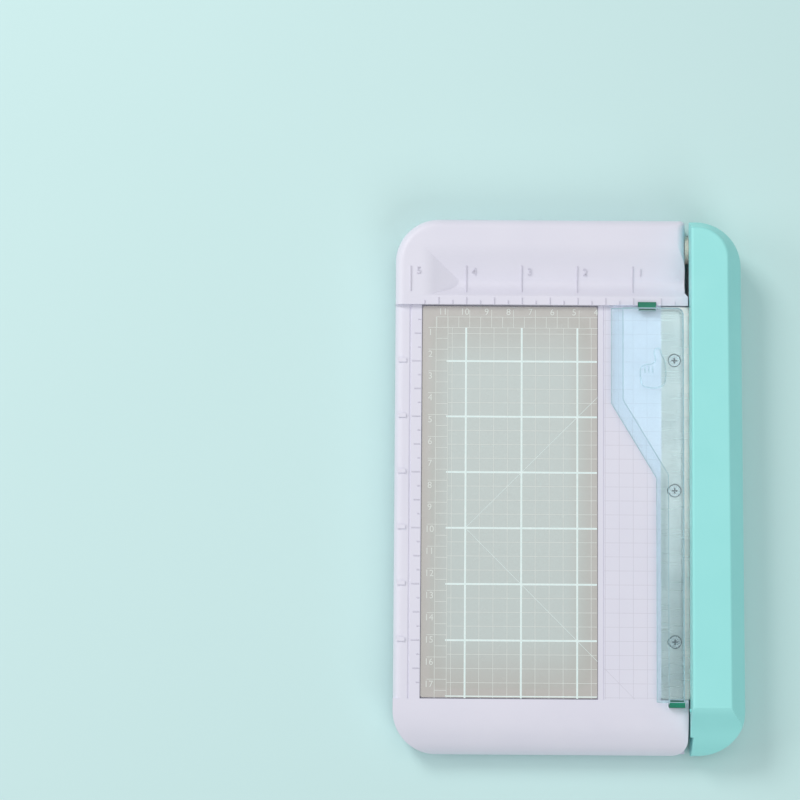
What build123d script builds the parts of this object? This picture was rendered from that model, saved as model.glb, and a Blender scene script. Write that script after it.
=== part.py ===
from build123d import *
from math import atan2, tan
import os

os.makedirs("parts", exist_ok=True)

# Guillotine paper cutter, millimetres. The origin lies on the table under the middle of the cutter,
# +X points to the cutting arm, +Y to the rear paper stop and +Z up.

# Driving dimensions
cut_x = 54.75                           # plane in which the two blades shear
stop_y = 82.4                           # front face of the rear paper stop
inch = 25.4
left_x = cut_x - 134                    # outer face of the left rail
arm_outer_x = cut_x + 24.5              # outer face of the arm
rear_y = stop_y + 39.6                  # rear face of the rear block
bed_end_y = stop_y - 179.1              # where the bed meets the front block
front_y = stop_y - 204.4                # front face of the front block

foot_z = 1.5                            # underside of the base frame
floor_z = 4.5                           # top of the frame's floor
seat_z = 17.2                           # seat of the scale panel and the bed plate
bed_z = 20                              # paper level
stop_z = 22.5                           # top of the rear block and its paper stop
arm_bottom_z = 2.5
arm_top_z = 33

body_corner = 20                        # plan radius of the two left corners
edge_round = 4                          # rounded outer top edges of the white mouldings
tray_inset = 0.8                        # the frame's floor stands back under the mouldings
beam_right_x = cut_x - 1                # right wall of the base beside the moving blade
lip_right_x = cut_x - 0.5               # right ends of the stop's ledge and of the front block
running_gap = 0.05                      # between a turning piece and its pin or blade


def save(piece, name):
    """Label a finished piece and write its own STEP file."""
    piece.label = name
    export_step(piece, f"parts/{name}.step")


# Window and the pieces laid over the base frame
window_left_x = cut_x - 117.4
window_right_x = cut_x - 45
window_margin = 4.5
rail_right_x = cut_x - 121.9            # inner face of the left rail
panel_left_x = rail_right_x + 0.1
panel_right_x = cut_x - 41.4
retainer_right_x = cut_x - 38.7
blade_left_x = cut_x - 12.6             # left edge of the fixed blade
blade_seat_z = 18
end_gap = 0.4

# Fixed blade screws, and the screws that hold the two end blocks from below
blade_screw_x = cut_x - 6.6
blade_screw_y = [stop_y - 25, stop_y - 84.5, stop_y - 153]
block_screw_x = [cut_x - 100, cut_x - 50]
rear_screw_y = stop_y + 24
front_screw_y = stop_y - 190

# Feet
foot_x = [cut_x - 118, cut_x - 26]
foot_y = [stop_y - 190, stop_y + 28]
foot_radius = 6
foot_recess = 1

# Hinge of the arm
pivot_y = stop_y + 26.7
pivot_z = 14
pivot_radius = 3
thread_radius = 2.5
arm_rear_y = pivot_y + pivot_z - arm_bottom_z
block_right_x = cut_x - 1.6             # right wall of the rear block
bracket_sheet = 2
flange_left_x = block_right_x - 14
bracket_screw_x = block_right_x - 8
bracket_screw_y = [pivot_y - 4, pivot_y + 4]

# Sprung guides of the hand guard
guard_bottom_z = 22
guide_nose_z = guard_bottom_z + 1.4     # top of the guide noses, let into the guard
guide_foot_z = 10
guide_foot_top_z = 12.6
rear_guide_x = cut_x - 19.2
rear_guide_width = 8
front_guide_x = cut_x - 5.9
front_guide_width = 7
guide_side_gap = 0.2
guide_wall = 1.25                       # thickness of the guide stems
rear_stem_y = stop_y + 0.15             # front face of the rear stem
front_stem_y = stop_y - 181.15          # rear face of the front stem


# ---------------------------------------------------------------- base frame
with BuildPart() as base_frame:
    with BuildSketch(Plane.XY.offset(foot_z)) as floor_plan:
        with BuildLine():
            Polyline(
                (beam_right_x, front_y + tray_inset),
                (beam_right_x, rear_y - tray_inset),
                (left_x + tray_inset, rear_y - tray_inset),
                (left_x + tray_inset, front_y + tray_inset),
                close=True,
            )
        make_face()
        fillet(floor_plan.vertices().group_by(Axis.X)[0], body_corner - tray_inset)
    extrude(amount=floor_z - foot_z)
    with BuildSketch(Plane.XY.offset(floor_z)):
        with Locations(((rail_right_x + beam_right_x) / 2, (stop_y + bed_end_y) / 2)):
            Rectangle(beam_right_x - rail_right_x, stop_y - bed_end_y)
    extrude(amount=seat_z - floor_z)
    # window under the scale panel, open right through
    with BuildSketch(Plane.XY.offset(foot_z)) as window_plan:
        with Locations(((window_left_x + window_right_x) / 2, (stop_y + bed_end_y) / 2)):
            Rectangle(window_right_x - window_left_x, stop_y - bed_end_y - 2 * window_margin)
        fillet(window_plan.vertices(), 5)
    extrude(amount=seat_z - foot_z, mode=Mode.SUBTRACT)
    # coring of the right beam from below, between its cross ribs
    with BuildSketch(Plane.XY.offset(foot_z)):
        with Locations(((window_right_x + beam_right_x) / 2, (stop_y + bed_end_y) / 2)):
            with GridLocations(20, 28.6, 2, 6):
                RectangleRounded(15, 20, 2)
    extrude(amount=11, mode=Mode.SUBTRACT)
    # pilot holes of the fixed blade screws
    with Locations(*[(blade_screw_x, y, seat_z) for y in blade_screw_y]):
        Hole(1.4, depth=4)
    # clearance holes and countersinks of the screws driven from below
    floor_screws = [(x, y) for x in block_screw_x for y in (rear_screw_y, front_screw_y)]
    floor_screws += [(bracket_screw_x, y) for y in bracket_screw_y]
    with Locations(Plane.XY.offset(foot_z).rotated((180, 0, 0))):
        with Locations(*[(x, -y) for x, y in floor_screws]):
            CounterSinkHole(1.5, 2.8, depth=floor_z - foot_z)
    # recesses of the feet
    with BuildSketch(Plane.XY.offset(foot_z)):
        with Locations(*[(x, y) for x in foot_x for y in foot_y]):
            Circle(foot_radius)
    extrude(amount=foot_recess, mode=Mode.SUBTRACT)
save(base_frame.part, "base_frame")

# ---------------------------------------------------------------- rubber feet
side_names = ["left", "right"]
end_names = ["front", "rear"]
for side, x in zip(side_names, foot_x):
    for end, y in zip(end_names, foot_y):
        with BuildPart() as foot:
            with BuildSketch():
                with Locations((x, y)):
                    Circle(foot_radius)
            extrude(amount=foot_z + foot_recess)
            fillet(foot.edges().group_by(Axis.Z)[0], 0.5)
        save(foot.part, f"foot_{end}_{side}")

# ---------------------------------------------------------------- rear block
trough_rear_y = stop_y + 25             # where the scoop starts to fall
trough_low_y = stop_y + 9.5             # lowest line of the scoop
trough_front_y = stop_y + 4             # rear edge of the paper stop's ledge
trough_low_z = 16.5
trough_left_x = cut_x - 119.4           # top of the ramp at the scoop's left end
trough_foot_x = cut_x - 102.6           # foot of that ramp
above_z = stop_z + 10
brow_round = 16                         # soft turn from the block's top into the scoop
bottom_round = 5
ledge_round = 1.6                       # rear edge of the ledge
ramp_round = 8                          # foot of the ramp
lip_width = 1.5                         # flat of the ledge that the scoop's cut still spans
brow_reach = 4                          # flat stretch left beyond each turn
ledge_run_out = 1.8                     # slanted step from the ledge back to the block's right wall

with BuildPart() as scoop:
    # long V of the scoop, then the ramp that closes its left end
    with BuildSketch(Plane.YZ.offset(trough_left_x - brow_reach)) as scoop_section:
        with BuildLine():
            Polyline(
                (trough_rear_y + brow_reach, stop_z),
                (trough_rear_y, stop_z),
                (trough_low_y, trough_low_z),
                (trough_front_y, stop_z),
                (trough_front_y - lip_width, stop_z),
                (trough_front_y - lip_width, above_z),
                (trough_rear_y + brow_reach, above_z),
                close=True,
            )
        make_face()
        fillet(scoop_section.vertices().sort_by(Axis.X)[2], ledge_round)
        fillet(scoop_section.vertices().group_by(Axis.Y)[-2].sort_by(Axis.X)[-2], brow_round)
        fillet(scoop_section.vertices().group_by(Axis.Y)[0], bottom_round)
    extrude(amount=cut_x - trough_left_x + brow_reach)
    with BuildSketch(Plane.XZ.offset(-rear_y)) as ramp_section:
        with BuildLine():
            Polyline(
                (trough_left_x - brow_reach, stop_z),
                (trough_left_x, stop_z),
                (trough_foot_x, trough_low_z),
                (cut_x, trough_low_z),
                (cut_x, above_z),
                (trough_left_x - brow_reach, above_z),
                close=True,
            )
        make_face()
        fillet(ramp_section.vertices().group_by(Axis.Y)[-2].sort_by(Axis.X)[1], brow_round)
        fillet(ramp_section.vertices().group_by(Axis.Y)[0].sort_by(Axis.X)[0], ramp_round)
    extrude(amount=rear_y - stop_y, mode=Mode.INTERSECT)

with BuildPart() as rear_block:
    with BuildSketch(Plane.XY.offset(floor_z)) as rear_plan:
        with BuildLine():
            Polyline(
                (left_x, stop_y),
                (lip_right_x, stop_y),
                (lip_right_x, trough_front_y),
                (block_right_x, trough_front_y + ledge_run_out),
                (block_right_x, rear_y),
                (left_x, rear_y),
                close=True,
            )
        make_face()
        fillet(rear_plan.vertices().group_by(Axis.Y)[-1].sort_by(Axis.X)[0], body_corner)
        fillet(rear_plan.vertices().group_by(Axis.Y)[-1].sort_by(Axis.X)[-1], 2)
    extrude(amount=stop_z - floor_z)
    outer_top = rear_block.edges().group_by(Axis.Z)[-1].filter_by(
        lambda e: e.center().Y > stop_y + 1 and (e.center().X < left_x + 30 or e.center().Y > rear_y - 1)
    )
    fillet(outer_top, edge_round)
    add(scoop.part, mode=Mode.SUBTRACT)
    # housing of the pivot bracket, its nut and the flange, open to the arm
    with BuildSketch(Plane.YZ.offset(flange_left_x - 0.4)):
        with BuildLine():
            Polyline(
                (pivot_y - 8.4, floor_z),
                (pivot_y + 8.4, floor_z),
                (pivot_y + 8.4, 9.2),
                (pivot_y + 4.4, 19.2),
                (pivot_y - 4.4, 19.2),
                (pivot_y - 8.4, 9.2),
                close=True,
            )
        make_face()
    extrude(amount=cut_x - flange_left_x, mode=Mode.SUBTRACT)
    # pocket and slot of the rear guard guide
    with BuildSketch(Plane.XY.offset(floor_z)):
        with Locations((rear_guide_x, stop_y + 2.7)):
            Rectangle(rear_guide_width + 2 * guide_side_gap, 5.4)
    extrude(amount=guide_foot_top_z + running_gap - floor_z, mode=Mode.SUBTRACT)
    with BuildSketch(Plane.XY.offset(floor_z)):
        with Locations((rear_guide_x, rear_stem_y + guide_wall / 2)):
            Rectangle(rear_guide_width + 2 * guide_side_gap, guide_wall + 0.3)
    extrude(amount=stop_z - floor_z, mode=Mode.SUBTRACT)
    with Locations(*[(x, rear_screw_y, floor_z) for x in block_screw_x]):
        Cylinder(1.2, 8, align=(Align.CENTER, Align.CENTER, Align.MIN), mode=Mode.SUBTRACT)
save(rear_block.part, "rear_block")

# ---------------------------------------------------------------- front block
nose_flat_y = bed_end_y - 4             # end of the flat stretch beside the bed
nose_z = 6.5                            # lower end of the rounded nose
nose_corner = 7                         # plan radius of the corner beside the arm

with BuildPart() as front_block:
    with BuildSketch(Plane.YZ.offset(left_x)):
        with BuildLine():
            Polyline(
                (nose_flat_y, bed_z),
                (bed_end_y, bed_z),
                (bed_end_y, floor_z),
                (front_y, floor_z),
                (front_y, nose_z),
            )
            Spline(
                (front_y, nose_z),
                (front_y + 6.5, bed_z - 4.6),
                (nose_flat_y, bed_z),
                tangents=[(0.1, 1), (1, 0)],
            )
        make_face()
    extrude(amount=lip_right_x - left_x)
    with BuildSketch(Plane.XY.offset(floor_z)) as front_plan:
        with Locations(((left_x + lip_right_x) / 2, (front_y + bed_end_y) / 2)):
            Rectangle(lip_right_x - left_x, bed_end_y - front_y)
        fillet(front_plan.vertices().group_by(Axis.Y)[0].sort_by(Axis.X)[0], body_corner)
        fillet(front_plan.vertices().group_by(Axis.Y)[0].sort_by(Axis.X)[-1], nose_corner)
    extrude(amount=bed_z, mode=Mode.INTERSECT)
    # pocket and slot of the front guard guide
    with BuildSketch(Plane.XY.offset(floor_z)):
        with Locations((front_guide_x, front_stem_y - 2.55)):
            Rectangle(front_guide_width + 2 * guide_side_gap, 5.4)
    extrude(amount=guide_foot_top_z + running_gap - floor_z, mode=Mode.SUBTRACT)
    with BuildSketch(Plane.XY.offset(floor_z)):
        with Locations((front_guide_x, front_stem_y - guide_wall / 2)):
            Rectangle(front_guide_width + 2 * guide_side_gap, guide_wall + 0.35)
    extrude(amount=bed_z - floor_z, mode=Mode.SUBTRACT)
    with Locations(*[(x, front_screw_y, floor_z) for x in block_screw_x]):
        Cylinder(1.2, 8, align=(Align.CENTER, Align.CENTER, Align.MIN), mode=Mode.SUBTRACT)
save(front_block.part, "front_block")

# ---------------------------------------------------------------- left rail
rail_wall = 2.4
groove_x = cut_x - 5 * inch             # groove on the five inch line
groove_depth = 0.6
nub_x = cut_x - 130.7
nub_length = 3.6
nub_width = 1.8
nub_height = 0.8

with BuildPart() as left_rail:
    with BuildSketch(Plane.XZ.offset(-stop_y)) as rail_section:
        with BuildLine():
            Polyline(
                (left_x, floor_z),
                (left_x, bed_z),
                (groove_x - groove_depth, bed_z),
                (groove_x, bed_z - groove_depth),
                (groove_x + groove_depth, bed_z),
                (rail_right_x, bed_z),
                (rail_right_x, floor_z),
                close=True,
            )
        make_face()
        fillet(rail_section.vertices().group_by(Axis.X)[0].sort_by(Axis.Y)[-1], edge_round)
        # hollow underside
        with Locations(((left_x + rail_right_x) / 2, (floor_z + bed_z - 4) / 2)):
            Rectangle(rail_right_x - left_x - 2 * rail_wall, bed_z - 4 - floor_z, mode=Mode.SUBTRACT)
    extrude(amount=stop_y - bed_end_y)
    # one wedge at every inch, low at its outer end
    for number in range(1, 7):
        with BuildSketch(Plane.XZ.offset(-(stop_y - number * inch + nub_width / 2))):
            with BuildLine():
                Polyline(
                    (nub_x - nub_length / 2, bed_z - 0.2),
                    (nub_x + nub_length / 2, bed_z - 0.2),
                    (nub_x + nub_length / 2, bed_z + nub_height),
                    (nub_x - nub_length / 2, bed_z + nub_height / 2),
                    close=True,
                )
            make_face()
        extrude(amount=nub_width)
save(left_rail.part, "left_rail")

# ---------------------------------------------------------------- bed plate, retainer and panel
with BuildPart() as bed_plate:
    with BuildSketch(Plane.XZ.offset(-stop_y)):
        with BuildLine():
            Polyline(
                (retainer_right_x, seat_z),
                (retainer_right_x, bed_z),
                (blade_left_x, bed_z),
                (blade_left_x, blade_seat_z),
                (beam_right_x, blade_seat_z),
                (beam_right_x, seat_z),
                close=True,
            )
        make_face()
    extrude(amount=stop_y - bed_end_y)
    with Locations(*[(blade_screw_x, y, blade_seat_z) for y in blade_screw_y]):
        Hole(1.6, depth=blade_seat_z - seat_z)
save(bed_plate.part, "bed_plate")

with BuildPart() as panel_retainer:
    with BuildSketch(Plane.XZ.offset(-stop_y)) as strip_section:
        with Locations(((panel_right_x + retainer_right_x) / 2, (seat_z + bed_z) / 2)):
            Rectangle(retainer_right_x - panel_right_x, bed_z - seat_z)
        chamfer(strip_section.vertices().group_by(Axis.Y)[-1], 0.3)
    extrude(amount=stop_y - bed_end_y)
save(panel_retainer.part, "panel_retainer")

with BuildPart() as scale_panel:
    with BuildSketch(Plane.XY.offset(seat_z)) as panel_plan:
        with Locations(((panel_left_x + panel_right_x) / 2, (stop_y + bed_end_y) / 2)):
            Rectangle(panel_right_x - panel_left_x - 0.2, stop_y - bed_end_y - 2 * end_gap)
        fillet(panel_plan.vertices(), 1)
    extrude(amount=bed_z - 0.2 - seat_z)
    chamfer(scale_panel.edges().group_by(Axis.Z)[-1], 0.3)
save(scale_panel.part, "scale_panel")

# ---------------------------------------------------------------- fixed blade and the screws
fixed_screw_head = 3.2                  # radius of the countersink
screw_sink = 0.4                        # how far the screw heads sit below the blade's face

with BuildPart() as fixed_blade:
    with BuildSketch(Plane.XY.offset(blade_seat_z)) as blade_plan:
        with Locations(((blade_left_x + cut_x) / 2, (stop_y + bed_end_y) / 2)):
            Rectangle(cut_x - blade_left_x, stop_y - bed_end_y - 2 * end_gap)
        fillet(blade_plan.vertices().group_by(Axis.X)[0], 1)
    extrude(amount=bed_z - blade_seat_z)
    with Locations(*[(blade_screw_x, y, bed_z) for y in blade_screw_y]):
        CounterSinkHole(1.7, fixed_screw_head, depth=bed_z - blade_seat_z)
save(fixed_blade.part, "fixed_blade")


def flat_head_screw(head_radius, shank_radius, length, slot_depth=0.6):
    """Countersunk screw with a cross recess, its head up and level with Z = 0."""
    with BuildPart() as screw:
        with BuildSketch(Plane.XZ):
            with BuildLine():
                Polyline(
                    (0, 0),
                    (head_radius, 0),
                    (shank_radius, shank_radius - head_radius),
                    (shank_radius, -length),
                    (0, -length),
                    close=True,
                )
            make_face()
        revolve(axis=Axis.Z)
        with BuildSketch(Plane.XY):
            Rectangle(head_radius * 1.1, head_radius * 0.22)
            Rectangle(head_radius * 0.22, head_radius * 1.1)
        extrude(amount=-slot_depth, mode=Mode.SUBTRACT)
    return screw.part


def place(piece, planes):
    """Copies of a piece standing on each of the planes, as one group."""
    return Compound([plane.location * piece for plane in planes])


long_screw = flat_head_screw(fixed_screw_head - screw_sink - running_gap, 1.4, bed_z - seat_z + 3.5)
long_screw_planes = [Plane((blade_screw_x, y, bed_z - screw_sink)) for y in blade_screw_y]
save(place(long_screw, long_screw_planes), "fixed_blade_screws")

down = (0, 0, -1)
floor_screw = flat_head_screw(2.75, 1.2, floor_z - foot_z + 7)
block_screw_planes = [
    Plane((x, y, foot_z), z_dir=down) for x in block_screw_x for y in (rear_screw_y, front_screw_y)
]
save(place(floor_screw, block_screw_planes), "block_screws")

# ---------------------------------------------------------------- hinge pieces held by the base
bracket_top_z = 18.8
flange_top_z = floor_z + bracket_sheet
flange_half = 8                         # half length of the bracket along Y
nut_thickness = 3.2
washer_thickness = 1

with BuildPart() as pivot_bracket:
    with BuildSketch(Plane.YZ.offset(block_right_x - bracket_sheet)):
        with BuildLine():
            Polyline(
                (pivot_y - flange_half, floor_z),
                (pivot_y + flange_half, floor_z),
                (pivot_y + flange_half, 9),
                (pivot_y + 4, bracket_top_z),
                (pivot_y - 4, bracket_top_z),
                (pivot_y - flange_half, 9),
                close=True,
            )
        make_face()
        with Locations((pivot_y, pivot_z)):
            Circle(thread_radius, mode=Mode.SUBTRACT)
    extrude(amount=bracket_sheet)
    with BuildSketch(Plane.XY.offset(floor_z)) as flange_plan:
        with Locations(((flange_left_x + block_right_x) / 2, pivot_y)):
            Rectangle(block_right_x - flange_left_x, 2 * flange_half)
        fillet(flange_plan.vertices().group_by(Axis.X)[0], 2)
        with Locations(*[(bracket_screw_x, y) for y in bracket_screw_y]):
            Circle(1.2, mode=Mode.SUBTRACT)
    extrude(amount=bracket_sheet)
save(pivot_bracket.part, "pivot_bracket")

bracket_screw = flat_head_screw(2.75, 1.2, flange_top_z - foot_z + 1)
bracket_screw_planes = [Plane((bracket_screw_x, y, foot_z), z_dir=down) for y in bracket_screw_y]
save(place(bracket_screw, bracket_screw_planes), "bracket_screws")

nut_right_x = block_right_x - bracket_sheet - washer_thickness
bush_right_x = cut_x + 9.9
bolt_head_x = bush_right_x + running_gap
bolt_head_radius = 5.5
bolt_head_height = 3.3

with BuildPart() as pivot_bolt:
    with BuildSketch(Plane.XY):
        with BuildLine():
            Polyline(
                (nut_right_x - nut_thickness - 0.8, 0),
                (nut_right_x - nut_thickness - 0.8, thread_radius),
                (block_right_x, thread_radius),
                (block_right_x, pivot_radius),
                (bolt_head_x, pivot_radius),
                (bolt_head_x, bolt_head_radius),
                (bolt_head_x + bolt_head_height - 1, bolt_head_radius),
                (bolt_head_x + bolt_head_height, bolt_head_radius - 1.5),
                (bolt_head_x + bolt_head_height, 0),
                close=True,
            )
        make_face()
    revolve(axis=Axis.X)
    with BuildSketch(Plane.YZ.offset(bolt_head_x + bolt_head_height)):
        RegularPolygon(2.3, 6)
    extrude(amount=-2, mode=Mode.SUBTRACT)
save(Pos(0, pivot_y, pivot_z) * pivot_bolt.part, "pivot_bolt")


def washer(left, thickness, outer_radius, inner_radius):
    """Ring round the pivot axis, its left face at the given X."""
    with BuildPart() as ring:
        with BuildSketch(Plane.YZ.offset(left)):
            with Locations((pivot_y, pivot_z)):
                Circle(outer_radius)
                Circle(inner_radius, mode=Mode.SUBTRACT)
        extrude(amount=thickness)
    return ring.part


save(washer(block_right_x, cut_x - block_right_x, 6.5, pivot_radius), "pivot_washer")
save(washer(nut_right_x, washer_thickness, 4.5, thread_radius), "spring_washer")

with BuildPart() as pivot_nut:
    with BuildSketch(Plane.YZ.offset(nut_right_x - nut_thickness)):
        with Locations((pivot_y, pivot_z)):
            RegularPolygon(4.6, 6)
            Circle(thread_radius, mode=Mode.SUBTRACT)
    extrude(amount=nut_thickness)
save(pivot_nut.part, "pivot_nut")

# ---------------------------------------------------------------- cutting arm
arm_left_x = cut_x + running_gap        # inner wall, flush with the blade below it
arm_shoulder_z = 24                     # where the outer slope begins
arm_slope = 6.8                         # how far the outer slope leans in
arm_rear_slope = 3.6
arm_corner = 20.5
arm_taper = 1.2                         # how much narrower the arm is at the rear
arm_wall = 2.2
blade_left_face = cut_x + running_gap
blade_sheet = 1.5
blade_right_face = blade_left_face + blade_sheet
blade_top_z = 21.2
arm_flat_end_y = stop_y - 182.3         # front end of the flat top
arm_nose_z = 7
heel_radius = pivot_z - arm_bottom_z
cap_radius = 6.2
cap_left_x = cut_x + 15                 # the cap fills the counterbore from here outwards
latch_radius = 0.7                      # small nub that snaps past the front block
latch_reach = 0.6
cavity_rear_y = pivot_y - 15
cavity_front_y = front_y + 17
cavity_top_z = arm_shoulder_z - 3
cavity_x = (blade_right_face + arm_outer_x) / 2
cavity_y = (cavity_front_y + cavity_rear_y) / 2
cavity_width = arm_outer_x - blade_right_face - 2 * arm_wall
cavity_length = cavity_rear_y - cavity_front_y
liner_seat_z = arm_bottom_z + 1.8
liner_screw_x = cavity_x + 4
liner_screw_y = [cavity_y - 84, cavity_y, cavity_y + 84]
moving_screw_z = 16
moving_screw_y = [stop_y - 20, stop_y - 92, stop_y - 164]


def arm_plan(slope, rear_slope, corner):
    """Plan of the arm, drawn in by the slopes on its outer and rear sides."""
    with BuildSketch() as plan:
        with BuildLine():
            Polyline(
                (arm_left_x, front_y),
                (arm_outer_x - slope, front_y),
                (arm_outer_x - arm_taper - slope, arm_rear_y - rear_slope),
                (arm_left_x, arm_rear_y - rear_slope),
                close=True,
            )
        make_face()
        fillet(plan.vertices().sort_by(Axis.X)[-2:], corner)
    return plan.sketch


with BuildPart() as arm_cover:
    with BuildSketch(Plane.XY.offset(arm_bottom_z)):
        add(arm_plan(0, 0, arm_corner))
    extrude(amount=arm_shoulder_z - arm_bottom_z)
    with BuildSketch(Plane.XY.offset(arm_shoulder_z)):
        add(arm_plan(0, 0, arm_corner))
    with BuildSketch(Plane.XY.offset(arm_top_z)):
        add(arm_plan(arm_slope, arm_rear_slope, arm_corner - arm_slope))
    loft()
    fillet(arm_cover.edges().group_by(Axis.Z)[-1], 1.2)
    # thumb slope at the front
    with BuildSketch(Plane.YZ.offset(cut_x - 1)):
        with BuildLine():
            Polyline(
                (front_y, arm_nose_z),
                (front_y - 1, arm_nose_z),
                (front_y - 1, arm_top_z + 1),
                (arm_flat_end_y, arm_top_z + 1),
                (arm_flat_end_y, arm_top_z),
            )
            Spline(
                (arm_flat_end_y, arm_top_z),
                (front_y + 13.5, arm_top_z - 8),
                (front_y + 6, arm_top_z - 14),
                (front_y, arm_nose_z),
                tangents=[(-1, -0.55), (-0.1, -1)],
            )
        make_face()
    extrude(amount=arm_outer_x - cut_x + 2, mode=Mode.SUBTRACT)
    # latch nub on the inner wall
    with BuildSketch(Plane.YZ.offset(arm_left_x - latch_reach)):
        with Locations((arm_flat_end_y - 2 * latch_radius, arm_shoulder_z + 1)):
            Circle(latch_radius)
    extrude(amount=latch_reach + latch_radius)
    # round heel that clears the table behind the pivot
    with BuildSketch(Plane.YZ.offset(cut_x - 1)):
        with Locations((pivot_y, pivot_z)):
            Rectangle(40, 40, align=(Align.MIN, Align.MAX))
            Circle(heel_radius, mode=Mode.SUBTRACT)
    extrude(amount=arm_outer_x - cut_x + 2, mode=Mode.SUBTRACT)
    # seat of the moving blade in the inner wall
    with BuildSketch(Plane.YZ.offset(cut_x)):
        with Locations((0, blade_top_z)):
            Rectangle(2 * rear_y + 2, 40, align=(Align.CENTER, Align.MAX))
    extrude(amount=blade_right_face - cut_x, mode=Mode.SUBTRACT)
    # hollow underside between the pivot boss and the nose
    with BuildSketch(Plane.XY.offset(arm_bottom_z)) as hollow:
        with Locations((cavity_x, cavity_y)):
            Rectangle(cavity_width, cavity_length)
        fillet(hollow.vertices(), 3)
    extrude(amount=cavity_top_z - arm_bottom_z, mode=Mode.SUBTRACT)
    # bore for the bush, then the counterbore for the bolt head and the cap
    with BuildSketch(Plane.YZ.offset(cut_x)):
        with Locations((pivot_y, pivot_z)):
            Circle(4.5)
    extrude(amount=arm_outer_x - cut_x, mode=Mode.SUBTRACT)
    with BuildSketch(Plane.YZ.offset(bush_right_x)):
        with Locations((pivot_y, pivot_z)):
            Circle(cap_radius)
    extrude(amount=arm_outer_x - bush_right_x, mode=Mode.SUBTRACT)
    # bosses for the liner screws
    with BuildSketch(Plane.XY.offset(liner_seat_z)):
        with Locations(*[(liner_screw_x, y) for y in liner_screw_y]):
            Circle(3.5)
            Circle(1.2, mode=Mode.SUBTRACT)
    extrude(amount=cavity_top_z - liner_seat_z)
    # bosses for the blade screws
    with BuildSketch(Plane.YZ.offset(blade_right_face)):
        with Locations(*[(y, moving_screw_z) for y in moving_screw_y]):
            Circle(3.2)
    extrude(amount=8)
    with BuildSketch(Plane.YZ.offset(blade_right_face)):
        with Locations(*[(y, moving_screw_z) for y in moving_screw_y]):
            Circle(1.1)
    extrude(amount=8, mode=Mode.SUBTRACT)
save(arm_cover.part, "arm_cover")

with BuildPart() as arm_liner:
    with BuildSketch(Plane.XY.offset(arm_bottom_z)) as liner_plan:
        with Locations((cavity_x, cavity_y)):
            Rectangle(cavity_width - 0.2, cavity_length - 0.2)
        fillet(liner_plan.vertices(), 2.9)
    extrude(amount=liner_seat_z - arm_bottom_z)
    with Locations(Plane.XY.offset(arm_bottom_z).rotated((180, 0, 0))):
        with Locations(*[(liner_screw_x, -y) for y in liner_screw_y]):
            CounterSinkHole(1.3, 2.6, depth=liner_seat_z - arm_bottom_z)
save(arm_liner.part, "arm_liner")

liner_screw = flat_head_screw(2.55, 1.2, 8)
liner_screw_planes = [Plane((liner_screw_x, y, arm_bottom_z), z_dir=down) for y in liner_screw_y]
save(place(liner_screw, liner_screw_planes), "arm_liner_screws")

# ---------------------------------------------------------------- moving blade
blade_front_y = stop_y - 177.5
blade_edge_z = 9.5
blade_belly = 1.2                       # how far the edge bows down at mid length
blade_heel_radius = 7

with BuildPart() as moving_blade:
    with BuildSketch(Plane.YZ.offset(blade_left_face)):
        with BuildLine():
            Polyline(
                (blade_front_y, blade_edge_z + 3),
                (blade_front_y, blade_top_z),
                (pivot_y - 6, blade_top_z),
                (pivot_y, pivot_z),
                (pivot_y - 4, blade_edge_z),
            )
            ThreePointArc(
                (pivot_y - 4, blade_edge_z),
                ((pivot_y + blade_front_y) / 2, blade_edge_z - blade_belly),
                (blade_front_y, blade_edge_z + 3),
            )
        make_face()
        with Locations((pivot_y, pivot_z)):
            Circle(blade_heel_radius)
            Circle(pivot_radius + running_gap, mode=Mode.SUBTRACT)
    extrude(amount=blade_sheet)
    with Locations(*[Plane((blade_left_face, y, moving_screw_z), z_dir=(-1, 0, 0)) for y in moving_screw_y]):
        CounterSinkHole(1.2, 2.3, depth=blade_sheet)
save(moving_blade.part, "moving_blade")

moving_screw = flat_head_screw(2.25, 1.1, 8, slot_depth=0.4)
moving_screw_planes = [
    Plane((blade_left_face, y, moving_screw_z), z_dir=(-1, 0, 0)) for y in moving_screw_y
]
save(place(moving_screw, moving_screw_planes), "moving_blade_screws")

bush = washer(blade_right_face, bush_right_x - blade_right_face, 4.5, pivot_radius + running_gap)
save(bush, "pivot_bush")

with BuildPart() as pivot_cap:
    with BuildSketch(Plane.YZ.offset(cap_left_x)):
        with Locations((pivot_y, pivot_z)):
            Circle(cap_radius)
    extrude(amount=arm_outer_x - cap_left_x)
    # its face follows the arm's rounded wall
    with BuildSketch(Plane.XY.offset(arm_bottom_z)):
        add(arm_plan(0, 0, arm_corner))
    extrude(amount=arm_shoulder_z - arm_bottom_z, mode=Mode.INTERSECT)
save(pivot_cap.part, "pivot_cap")

# ---------------------------------------------------------------- hand guard
guard_left_x = cut_x - 35.4
guard_neck_x = cut_x - 14.9
guard_right_x = cut_x - 2.9
guard_rear_y = stop_y - 1.5
guard_shoulder_y = stop_y - 45
guard_neck_y = stop_y - 79
guard_front_y = stop_y - 180
guard_edge = 1.4                        # thickness at the outer edge
guard_thickness = 3.6
bevel_width = 5
guard_corner = 3
nose_overlap = 1.1                      # how far each guide reaches under the guard
diagonal_angle = atan2(guard_neck_x - guard_left_x, guard_shoulder_y - guard_neck_y)


def guard_plan(inset):
    """Plan of the guard, its three left sides drawn in by the same width."""
    shift = inset * tan(diagonal_angle / 2)
    with BuildSketch() as plan:
        with BuildLine():
            Polyline(
                (guard_left_x + inset, guard_rear_y),
                (guard_right_x, guard_rear_y),
                (guard_right_x, guard_front_y),
                (guard_neck_x + inset, guard_front_y),
                (guard_neck_x + inset, guard_neck_y + shift),
                (guard_left_x + inset, guard_shoulder_y + shift),
                close=True,
            )
        make_face()
    return plan.sketch


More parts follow.
